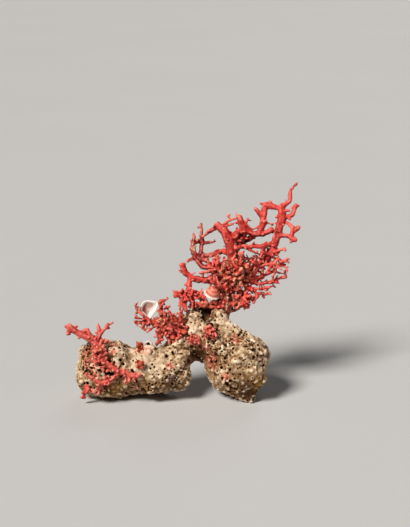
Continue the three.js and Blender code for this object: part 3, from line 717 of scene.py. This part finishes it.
def coral_piece(node, number, crowding, material):
    """One part of a colony: rounded, knobbly and set with twigs."""
    random = np.random.default_rng(number)
    habit = CORAL_NODES[node]
    block = Block([node], CORAL_STEP)
    thick = blur((block.distance < -CORAL_CORE).astype(np.float32), CORAL_CORE, block.step)
    thick = smooth_step(0.0, CORAL_CORE_SHARE, thick)
    fine = blur(block.distance - CORAL_SWELL, CORAL_ROUNDING, block.step)
    round_limb = blur(block.distance - CORAL_SWELL, CORAL_CORE_ROUNDING, block.step)
    block.distance = fine + np.minimum(round_limb - fine, CORAL_CORE_LOSS) * thick
    if node == BRIDGE_NODE:
        block.draw([row_point(*place) for place in BRIDGE], [BRIDGE_RADIUS] * len(BRIDGE), TWIG_BLEND)
    grow_twigs(block, CORAL_HABITS[habit], random)
    if habit == "bough":
        grow_twigs(block, CORAL_HABITS["spray"], random, THICKET_SPOTS)
    for other_habit, spots in DENSER.get(node, []):
        grow_twigs(block, CORAL_HABITS[other_habit], random, spots)
    for width, height in CORAL_KNOBS:
        block.distance -= height * block.lumps(width, random) * (1 + CORAL_CORE_KNOBS * thick)
    points, faces = largest_shell(*block.polygons())
    piece = make_piece(node + "_coral", points, faces, node, material)
    broad = blur(block.distance, RIDGE_WIDTH, block.step)
    right, up, near = picture_place(points)
    outs = block.slope(points)
    note(
        piece,
        ridge=block.at(broad, points),
        under=smooth_step(*UNDER_FACING, outs[:, 2]),
        fronting=smooth_step(*FRONT_REACH, near) * smooth_step(*FRONT_FACING, outs @ NEAR),
        crowding=crowding.at(crowding.distance, points),
        crust=patch(right, up, CRUST_SPOTS),
        limed=patch(right, up, LIME_SPOTS),
        faded=np.full(len(points), FADED.get(node, 0.0)),
        browned=np.full(len(points), BROWNED.get(node, 0.0)),
    )


# Rock

SIGHT_STEPS = np.arange(40, -40, -0.25)  # how near the places tried along a line of sight are
PALE_NEAR = (-6.0, 2.0)  # how near the viewer pale patches begin, and are full
PALE_BREAK_RISE = (-1.0, 0.1)  # noise where they are broken, and whole
ROCK_FRONT = (-2.0, 5.0)  # how near the viewer stains begin, and are full
FOOT_DARKENING = (9.0, 0.0)  # how high above the table it begins to be browner towards its foot, and is fully so
HOLLOW_WIDTH = 1.4  # hollows and swells stand out from rock smoothed this wide

# Where the rock is coloured in spots, by its own colour and by painted shade: right, up, half width, half
# height
PALE_SPOTS = [(-31, 28, 15, 10), (-18, 26, 8, 8), (7, 50, 5.5, 5.5), (27, 55, 6, 4)]
# brown stains, with painted shade under the arch and in the recesses by the stem and on the left
BROWN_STAIN_AND_SHADE_SPOTS = [
    (-25, 8, 34, 7), (46, 8, 16, 12), (18, 27, 7, 12), (-51, 20, 6, 5), (16, 61, 6, 6), (34, 12, 10, 9),
    (1.2, 27, 3.5, 3.5), (12, 31, 7, 6),
]
# painted shade in the recesses, under the arch and low on the right: right, up, half width, half height
PAINTED_SHADE_SPOTS = [(16.1, 58.5, 4.4, 6), (12, 30, 5, 4), (-51, 19.5, 4, 3), (45, 6, 7, 8)]
OCHRE_SPOTS = [(53, 10, 5, 7), (-50, 8, 6, 4)]
PURPLE_SPOTS = [(55, 30, 5, 3), (-8, 15, 5, 3)]
RED_SPOTS = [
    (-61.5, 28.5, 8, 8), (-65.5, 32.5, 4.5, 4), (-64.4, 25, 4, 3), (-62.6, 18, 5.5, 3),
    (-55, 10.4, 5, 3.5), (-59.7, 6.4, 5, 2.9), (-57.4, 33.7, 5, 4.5), (-48.7, 35.4, 2.9, 4.6),
    (-33, 8.7, 2.9, 1.6), (-23.7, 33.7, 2.8, 1.8), (-9.2, 23.8, 2.8, 2.6), (36, 42, 4.5, 3),
    (20, 27, 4, 6), (29, 16, 3, 3), (14, 36, 4, 3),
]
CRUST_REACH = (3.0, 0.6)  # red crust spreads over the rock this far from coral

# What is carved into the rock or stands out of it
BORINGS = [  # the plainest holes in the front: right, up, radius
    (-40.8, 36.8, 0.85), (-39.8, 36.1, 0.8), (-43, 27.9, 1), (-40.8, 25.1, 0.9), (-34.3, 27.2, 0.7),
    (-33.6, 19.4, 0.85), (-21.1, 24.9, 0.75), (-19.6, 23.1, 0.75), (-16.8, 18, 0.8), (-13.1, 18.8, 0.75),
    (-65.5, 12.2, 1.2), (-63.5, 9.3, 1.1), (-67.6, 11.9, 0.9), (-51, 19.1, 1.4), (-54.5, 24.1, 1.2),
    (-11.5, 30.2, 1), (-7.5, 32.8, 0.9), (-2.8, 11.6, 0.9), (-7.5, 11.6, 0.8), (-32, 13.6, 1.2),
]
RECESSES = [  # broad hollows, given in the same way
    (16.2, 61.5, 4.4), (16.1, 57.5, 4.2), (-52, 20.4, 2.6), (-49, 18.6, 2),
]
ROCK_LIP = [(-2.4, 29.5), (0.8, 31.1), (4, 28.7), (4.9, 25.9), (3.2, 23.1), (1.6, 21.4)]  # a curled ridge
LIP_RADIUS = 0.9
SILL_DROP = 2.1  # the worm's tube is sunk in a sill of rock, this far below its middle
SILL_RADIUS = 1.6
SILL_HALF_WIDTH = 3.4
ROCK_KNOBS = [  # knobs on the front, given as the borings are
    (-23.5, 33.6, 1.8), (2.4, 11.4, 2), (7.7, 46.8, 1.8), (4, 59.5, 2.4), (8.5, 62, 2.4),
    (12, 63.5, 2.2),
]
ARCH_ROOF = [  # rock that hangs low at the back of the arch
    (3.5, 26.8, -10), (6.5, 29.5, -9), (10, 30, -9), (14.5, 28.2, -10),
]
ARCH_ROOF_RADIUS = (4.2, 4.0, 4.6, 4.4)
ROCK_BLEND = 1.0


def rock_piece(material):
    """The arched rock: lumpy, worm-eaten and flat where it stands."""
    random = np.random.default_rng(ROCK_SEED)
    block = Block(["rock_base"], ROCK_STEP)
    right, up, near = picture_place(block.cell_points())
    pale = patch(right, up, PALE_SPOTS) * smooth_step(*PALE_NEAR, near)
    pale *= smooth_step(*PALE_BREAK_RISE, block.lumps(PALE_BREAKS, random))
    block.distance = blur(block.distance, ROCK_ROUNDING, block.step) + ROCK_WORN
    for width, height in ROCK_LUMPS:
        worn = ROCK_SMOOTHED if width < ROCK_SMALL_LUMP else 0.0
        block.distance -= height * block.lumps(width, random) * (1 - worn * pale)
    crease = np.zeros_like(block.distance)
    for width, height in ROCK_GRAINS:
        grains = np.abs(block.lumps(width, random))
        block.distance -= height * grains * (1 - ROCK_SMOOTHED * pale)
        crease = np.maximum(crease, smooth_step(CREASE_WIDTH, 0.0, grains))
    rough = PIT_ROUGH[1] * block.lumps(PIT_ROUGH[0], random)
    lip = [face_point(block, *place) for place in ROCK_LIP]
    block.draw(lip, [LIP_RADIUS] * len(lip), ROCK_BLEND)
    for knob_right, knob_up, radius in ROCK_KNOBS:
        middle = face_point(block, knob_right, knob_up)
        block.draw([middle, middle + KNOB_STANDING * radius * NEAR], [radius, radius], ROCK_BLEND)
    block.draw([row_point(*place) for place in ARCH_ROOF], ARCH_ROOF_RADIUS, ROCK_BLEND)
    for hollow_right, hollow_up, radius in RECESSES:
        middle = face_point(block, hollow_right, hollow_up)
        block.carve(middle, middle - RECESS_DEPTH * NEAR, radius, rough)
    tube = Block(["worm_tube"], COARSE_STEP)
    sill = 0.5 * (tube.low + tube.high) - SILL_DROP * UP + SILL_RADIUS * NEAR
    across = np.array([SILL_HALF_WIDTH, 0.0, 0.0])
    block.draw([sill - across, sill + across], [SILL_RADIUS] * 2, ROCK_BLEND)
    add_nodules(block, pale, random)
    whole = block.distance.copy()
    broad = blur(whole, HOLLOW_WIDTH, block.step)
    crowd = smooth_step(*PIT_CLUSTER_RISE, block.lumps(PIT_CLUSTER, random)) * (1 - pale)
    carve_pits(block, pale, crowd, rough, random)
    points, faces = largest_shell(*block.polygons())
    points[:, 2] = np.maximum(points[:, 2], 0)
    piece = make_piece("sea_rock", points, faces, "rock_base", material)
    thin_out(piece, ROCK_FACES)
    points = vertex_points(piece.data)
    right, up, near = picture_place(points)
    front = smooth_step(*ROCK_FRONT, near)
    coral = Block(CORAL_NODES, COARSE_STEP, COARSE_ROOM, COARSE_BAND)
    beside_coral = smooth_step(*CRUST_REACH, coral.at(coral.distance, points))
    note(
        piece,
        pit=-block.at(whole, points),
        hollow=-block.at(broad, points),
        crease=block.at(crease, points),
        pale=block.at(pale, points),
        # brown: stains, browner towards the foot, and painted shade under the arch and in recesses
        brown=np.maximum(patch(right, up, BROWN_STAIN_AND_SHADE_SPOTS), smooth_step(*FOOT_DARKENING, points[:, 2])),
        crowd=block.at(crowd, points),
        # dark: painted shade in recesses and under the arch
        dark=patch(right, up, PAINTED_SHADE_SPOTS),
        ochre=patch(right, up, OCHRE_SPOTS) * front,
        purple=patch(right, up, PURPLE_SPOTS) * front,
        red=np.maximum(patch(right, up, RED_SPOTS) * front, beside_coral),
    )


def add_nodules(block, pale, random):
    """Rounded grains that stand out of the rock, but not on its pale patch."""
    spots, _ = spaced_spots(block.triangles, NODULE_SPACING, random)
    outs = block.slope(spots)
    worn = random.random(len(spots)) < block.at(pale, spots)
    for spot, out in zip(spots[~worn], outs[~worn]):
        radius = random.uniform(*NODULE_RADIUS)
        face = spot - block.at(block.distance, spot[None])[0] * out
        middle = face - NODULE_SUNK * radius * out
        if middle[2] > radius:
            block.draw([middle, middle], [radius, radius], ROCK_BLEND)


def carve_pits(block, pale, crowd, rough, random):
    """Borings all over the rock, crowded in places, few on its pale patch."""
    spots, _ = spaced_spots(block.triangles, PIT_SPACING, random)
    crowded_here = block.at(crowd, spots)
    kept = random.random(len(spots)) > PIT_SPARED * block.at(pale, spots)
    kept &= random.random(len(spots)) < PIT_LONE_SHARE + (1 - PIT_LONE_SHARE) * crowded_here
    outs = block.slope(spots)
    for spot, out, dense in zip(spots[kept], outs[kept], crowded_here[kept]):
        low, high = PIT_LARGE_RADIUS if random.random() < PIT_LARGE_SHARE else PIT_RADIUS
        radius = random.uniform(low, high) * (1 + PIT_CLUSTER_GROWTH * dense)
        depth = random.uniform(*PIT_DEPTH)
        inwards = unit(-out + PIT_STRAY * random.normal(size=3))
        face = spot - block.at(block.distance, spot[None])[0] * out
        if face[2] > PIT_FOOT_ROOM + radius:
            block.carve(face - radius * inwards, face + depth * inwards, radius, rough)
    for right, up, radius in BORINGS:
        face = face_point(block, right, up)
        block.carve(face + radius * NEAR, face - BORING_DEPTH * NEAR, radius, rough)


def face_point(block, right, up):
    """The nearest point of a piece to the viewer, that far right and up, or the closest to it."""
    line = np.array([row_point(right, up, near) for near in SIGHT_STEPS])
    line = line[np.all((line > block.low) & (line < block.high), axis=1)]
    distance = block.at(block.distance, line)
    inside = distance < 0
    return line[inside.argmax() if inside.any() else distance.argmin()]


# Shells

VALVE_RINGS = 14
VALVE_SIDES = 72
VALVE_WAVES = 0.06  # how uneven growth makes the rings
EAR_MIDDLE = (-23.8, 62.5, 8.5)
EAR_OUTLINE = [
    (-6.1, -1.1), (-4.4, -2.6), (-2.9, -4.5), (-1.9, -6.3), (0.6, -6.4), (1.6, -4.9), (3.1, -2.7), (4.9, 0),
    (5.9, 2.6), (5.8, 4.5), (4, 5), (1.6, 5.4), (-1.4, 5.7), (-3.8, 4.8), (-5.6, 2.2),
]
EAR_DEPTH = 3.6
EAR_WALL = 1.2
EAR_RIBS = (18, 0.16)  # how many ribs and how high
EAR_TURN = -0.2  # its mouth is turned to the left
EAR_TILT = -0.1
EAR_FLATNESS = 2.2  # how flat its back is
EAR_SHADOW_REACH = (-0.8, -3.2)  # how far right of its middle the painted shadow in its hollow begins, and is full
EAR_PINK_REACH = (0.6, 3.2)  # the same for pink, partly painted light, with some of the way down added
EAR_PINK_SLANT = 0.6
EAR_OUTSIDE = (srgb(240, 228, 214), srgb(222, 200, 184))
EAR_WITHIN = (srgb(206, 180, 170), srgb(180, 146, 128))
# brown of the painted shadow on the left inside its hollow
EAR_PAINTED_SHADOW = srgb(132, 64, 44)
# pale pink, partly the shell's own and partly painted light on its lit right wall
EAR_PINK = srgb(246, 220, 216)
EAR_RIM = srgb(250, 244, 234)
TUBE_SWELL = 0.15
TUBE_ROUNDING = 0.3
TUBE_LUMPS = (1.1, 0.14)
TUBE_BORE = 1.5  # radius of the painted shade inside
TUBE_BORE_EDGE = (1.1, 0.8)  # shares of that radius where the painted shade begins, and is full
TUBE_END = 2.2  # how far behind its middle it is closed
TUBE_WHITE = (srgb(238, 226, 212), srgb(188, 170, 152))
# painted shade inside the tube's mouth
TUBE_PAINTED_SHADE = srgb(58, 40, 28)
DOME_MIDDLE = (20, 72.8, 6)
DOME_RADIUS = 5.6
DOME_DEPTH = 5.5
DOME_SHARE = 0.85  # how much of its radius is dome, inside a flat white frill
DOME_WALL = 0.7
DOME_RIBS = (24, 0.1)
DOME_TURN = 0.45
DOME_TILT = math.pi - 0.9  # its back is turned to the viewer and tipped up
DOME_BANDS = 17.0  # angle that the wave of its bands runs through, from its top to its rim
DOME_WANDER = 0.25  # how far the bands stray
DOME_PINK = srgb(216, 94, 82)
DOME_CREAM = srgb(228, 154, 120)
DOME_WHITE = srgb(240, 230, 214)


def closed_curve(points, count):
    """A smooth closed curve through some points, as count points."""
    points = np.array(points, float)
    turn = np.arange(count) / count * len(points)
    cell = turn.astype(int)
    part = (turn - cell)[:, None]
    before, here, after, beyond = (points[(cell + i) % len(points)] for i in (-1, 0, 1, 2))
    return 0.5 * (
        2 * here
        + (after - before) * part
        + (2 * before - 5 * here + 4 * after - beyond) * part**2
        + (3 * here - before - 3 * after + beyond) * part**3
    )


def cup(share):
    """How deep a cupped valve is, from 1 in its middle to 0 at its rim."""
    return 1 - share**EAR_FLATNESS


def dome(share):
    """The same for a round domed valve with a frill."""
    return np.sqrt(np.maximum(1 - (share / DOME_SHARE) ** 2, 0))


def valve(outline, profile, depth, wall, ribs):
    """A shell valve with its mouth towards the viewer: rings from its back to the rim, and back inside."""
    random = np.random.default_rng(VALVE_SEED)
    sides = len(outline)
    turn = np.arange(sides) / sides * 2 * np.pi
    waves = VALVE_WAVES * random.normal(size=VALVE_RINGS + 1)
    steps = np.arange(1, VALVE_RINGS + 1)
    size = np.abs(outline).max()
    rings = []
    for outer, step in [(True, step) for step in steps] + [(False, step) for step in steps[::-1]]:
        share = step / VALVE_RINGS
        wide = share + (0.5 * wall / size if outer else 0) + waves[step] / size
        deep = -depth * profile(share) - (wall * profile(share) if outer else 0) + waves[step]
        rib = ribs[1] * share * np.cos(ribs[0] * turn) if outer else 0 * turn
        rings.append(np.column_stack([outline * wide, deep + rib]))
    points = np.concatenate([[[0, 0, -depth - wall]], *rings, [[0, 0, -depth]]])
    here = np.arange(sides)
    beside = (here + 1) % sides
    starts = 1 + sides * np.arange(len(rings))
    caps = np.concatenate([
        np.column_stack([0 * here, 1 + beside, 1 + here]),
        np.column_stack([starts[-1] + here, starts[-1] + beside, 0 * here + len(points) - 1]),
    ])
    walls = np.concatenate([
        np.column_stack([start + here, start + beside, start + sides + beside, start + sides + here])
        for start in starts[:-1]
    ])
    inside = np.concatenate([[0], np.repeat([0, 1], VALVE_RINGS * sides), [1]])
    level = np.concatenate([[0], np.repeat([*steps, *steps[::-1]], sides), [0]]) / VALVE_RINGS
    return points, [caps, walls], inside, level


def set_in_plane(points, middle, tilt, turn):
    """Points of a shell set in the leaning plane: tipped back, turned, and moved to its middle."""
    x, y, z = points.T
    y, z = y * math.cos(tilt) - z * math.sin(tilt), y * math.sin(tilt) + z * math.cos(tilt)
    x, z = x * math.cos(turn) + z * math.sin(turn), -x * math.sin(turn) + z * math.cos(turn)
    return np.array([row_point(*place) for place in np.column_stack([x, y, z]) + middle])


def ear_material():
    """White outside and at the rim, with painted shadow on the left of its hollow, and pale pink on the right
    that is partly painted light.
    """
    s = Surface("white_shell_lime")
    mottle = s.noise(width=2.4)
    within = s.layered(
        s.mix(s.between(mottle, 0.38, 0.62), *EAR_WITHIN),
        # painted shadow on the left of the hollow, and pale pink on the right, partly painted light
        (EAR_PAINTED_SHADOW, s.noted("left")),
        (EAR_PINK, s.noted("low")),
        (EAR_RIM, s.between(s.noted("level"), 0.78, 0.88)),
    )
    outside = s.mix(s.between(mottle, 0.35, 0.65), *EAR_OUTSIDE)
    s.bump(s.noise(width=0.8, detail=2.0), depth=0.12)
    return s.finish(s.mix(s.noted("inside"), outside, within), s.uneven(mottle, 0.3, 0.2))


def dome_material():
    """Pink with cream bands that follow its growth, and a white frill."""
    s = Surface("pink_shell_lime")
    level = s.noted("level")
    wander = s.times(s.noise(width=3.0, detail=2.0), DOME_WANDER)
    band = s.math("SINE", s.times(s.plus(level, wander), DOME_BANDS), 0.0)
    colour = s.mix(s.between(band, 0.0, 0.9), DOME_PINK, DOME_CREAM)
    colour = s.mix(s.between(level, 0.8, 0.86), colour, DOME_WHITE)
    s.bump(s.noise(width=0.7, detail=2.0), depth=0.12)
    return s.finish(colour, s.uneven(s.noise(width=2.0, detail=2.0), 0.3, 0.2))


def tube_material():
    """White lime of a worm's tube, with painted shade inside its mouth."""
    s = Surface("worm_tube_lime")
    mottle = s.noise(width=1.6)
    colour = s.mix(s.between(mottle, 0.35, 0.65), *TUBE_WHITE)
    # painted shade inside its mouth
    colour = s.mix(s.noted("bore"), colour, TUBE_PAINTED_SHADE)
    s.bump(s.noise(width=0.7), depth=0.15)
    return s.finish(colour, s.uneven(mottle, 0.5, 0.3))


def ear_shell():
    """The white cupped valve that hangs on the shoulder colony."""
    outline = closed_curve(EAR_OUTLINE, VALVE_SIDES)
    points, faces, inside, level = valve(outline, cup, EAR_DEPTH, EAR_WALL, EAR_RIBS)
    points = set_in_plane(points, EAR_MIDDLE, EAR_TILT, EAR_TURN)
    piece = make_piece("ear_shell_valve", points, faces, "ear_shell", ear_material())
    right, up, _ = picture_place(points)
    right, up = right - EAR_MIDDLE[0], up - EAR_MIDDLE[1]
    note(
        piece,
        inside=inside,
        level=level,
        left=smooth_step(*EAR_SHADOW_REACH, right),
        low=smooth_step(*EAR_PINK_REACH, right - EAR_PINK_SLANT * up),
    )


def dome_shell():
    """The pink valve that is lodged beside the fan's stem."""
    turn = np.arange(VALVE_SIDES) / VALVE_SIDES * 2 * np.pi
    outline = DOME_RADIUS * np.column_stack([np.cos(turn), np.sin(turn)])
    points, faces, _, level = valve(outline, dome, DOME_DEPTH, DOME_WALL, DOME_RIBS)
    points = set_in_plane(points, DOME_MIDDLE, DOME_TILT, DOME_TURN)
    piece = make_piece("dome_shell_valve", points, faces, "dome_shell", dome_material())
    note(piece, level=level)


def worm_tube():
    """A worm's tube that ends in a round mouth towards the viewer."""
    random = np.random.default_rng(TUBE_SEED)
    block = Block(["worm_tube"], TUBE_STEP)
    middle = 0.5 * (block.low + block.high)
    block.distance = blur(block.distance - TUBE_SWELL, TUBE_ROUNDING, block.step)
    end = middle - TUBE_END * NEAR
    block.draw([end, end], [TUBE_BORE, TUBE_BORE], TUBE_ROUNDING)
    block.distance -= TUBE_LUMPS[1] * block.lumps(TUBE_LUMPS[0], random)
    points, faces = largest_shell(*block.polygons())
    piece = make_piece("worm_tube_lime", points, faces, "worm_tube", tube_material())
    off_axis = np.linalg.norm(np.cross(points - middle, NEAR), axis=1)
    note(piece, bore=smooth_step(*TUBE_BORE_EDGE, off_axis / TUBE_BORE))


# Table, light and camera

TABLE_SIZE = 20.0  # metres
TABLE_GREYS = (srgb(194, 193, 191), srgb(199, 198, 196))
SKY_COLOUR = (0.9, 0.94, 1.0, 1.0)
SKY_STRENGTH = 0.03
LIGHTS = [  # name, the way it shines, how wide it is in degrees, strength and colour
    ("key", (0.6, 0.6, -0.9), 20, 4.2, (1.0, 0.97, 0.93)),
    ("fill", (-0.9, 0.4, -0.5), 40, 0.16, (0.95, 0.97, 1.0)),
    ("back", (-0.3, -0.8, -0.7), 30, 0.3, (1.0, 1.0, 1.0)),
]
VIEW_FROM = (15.05, 94.15, 871.0)  # right, up and near
LENS = 85.0
SENSOR = 36.0


def table_top():
    bpy.ops.mesh.primitive_plane_add(size=TABLE_SIZE)
    table = bpy.context.object
    table.name = "table"
    s = Surface("pale_table")
    colour = s.mix(s.noise(width=300.0, detail=2.0), *TABLE_GREYS)
    roughness = s.uneven(s.noise(width=40.0, detail=2.0), 0.6, 0.1)
    table.data.materials.append(s.finish(colour, roughness))


def aimed(name, data, way):
    """A light or a camera that points a given way."""
    thing = bpy.data.objects.new(name, data)
    thing.rotation_euler = Vector(way).to_track_quat("-Z", "Y").to_euler()
    scene.collection.objects.link(thing)
    return thing


def soft_sun(name, way, softness, strength, colour):
    """Broad even light."""
    data = bpy.data.lights.new(name, "SUN")
    data.angle = math.radians(softness)
    data.energy = strength
    data.color = colour
    aimed(name, data, way)


def camera():
    """A long lens that looks straight at the leaning plane."""
    data = bpy.data.cameras.new("camera")
    data.lens = LENS
    data.sensor_width = SENSOR
    view = aimed("camera", data, -NEAR)
    view.location = row_point(*VIEW_FROM) * MM
    scene.camera = view


def surroundings():
    world = bpy.data.worlds.new("studio")
    world.use_nodes = True
    background = world.node_tree.nodes["Background"]
    background.inputs["Color"].default_value = SKY_COLOUR
    background.inputs["Strength"].default_value = SKY_STRENGTH
    scene.world = world
    for light in LIGHTS:
        soft_sun(*light)
    scene.view_settings.view_transform = "Standard"


# Building it

crowded = crowding_block()
coral_red = coral_material()
for number, coral_node in enumerate(CORAL_NODES):
    coral_piece(coral_node, number, crowded, coral_red)
rock_piece(rock_material())
ear_shell()
dome_shell()
worm_tube()
table_top()
surroundings()
camera()
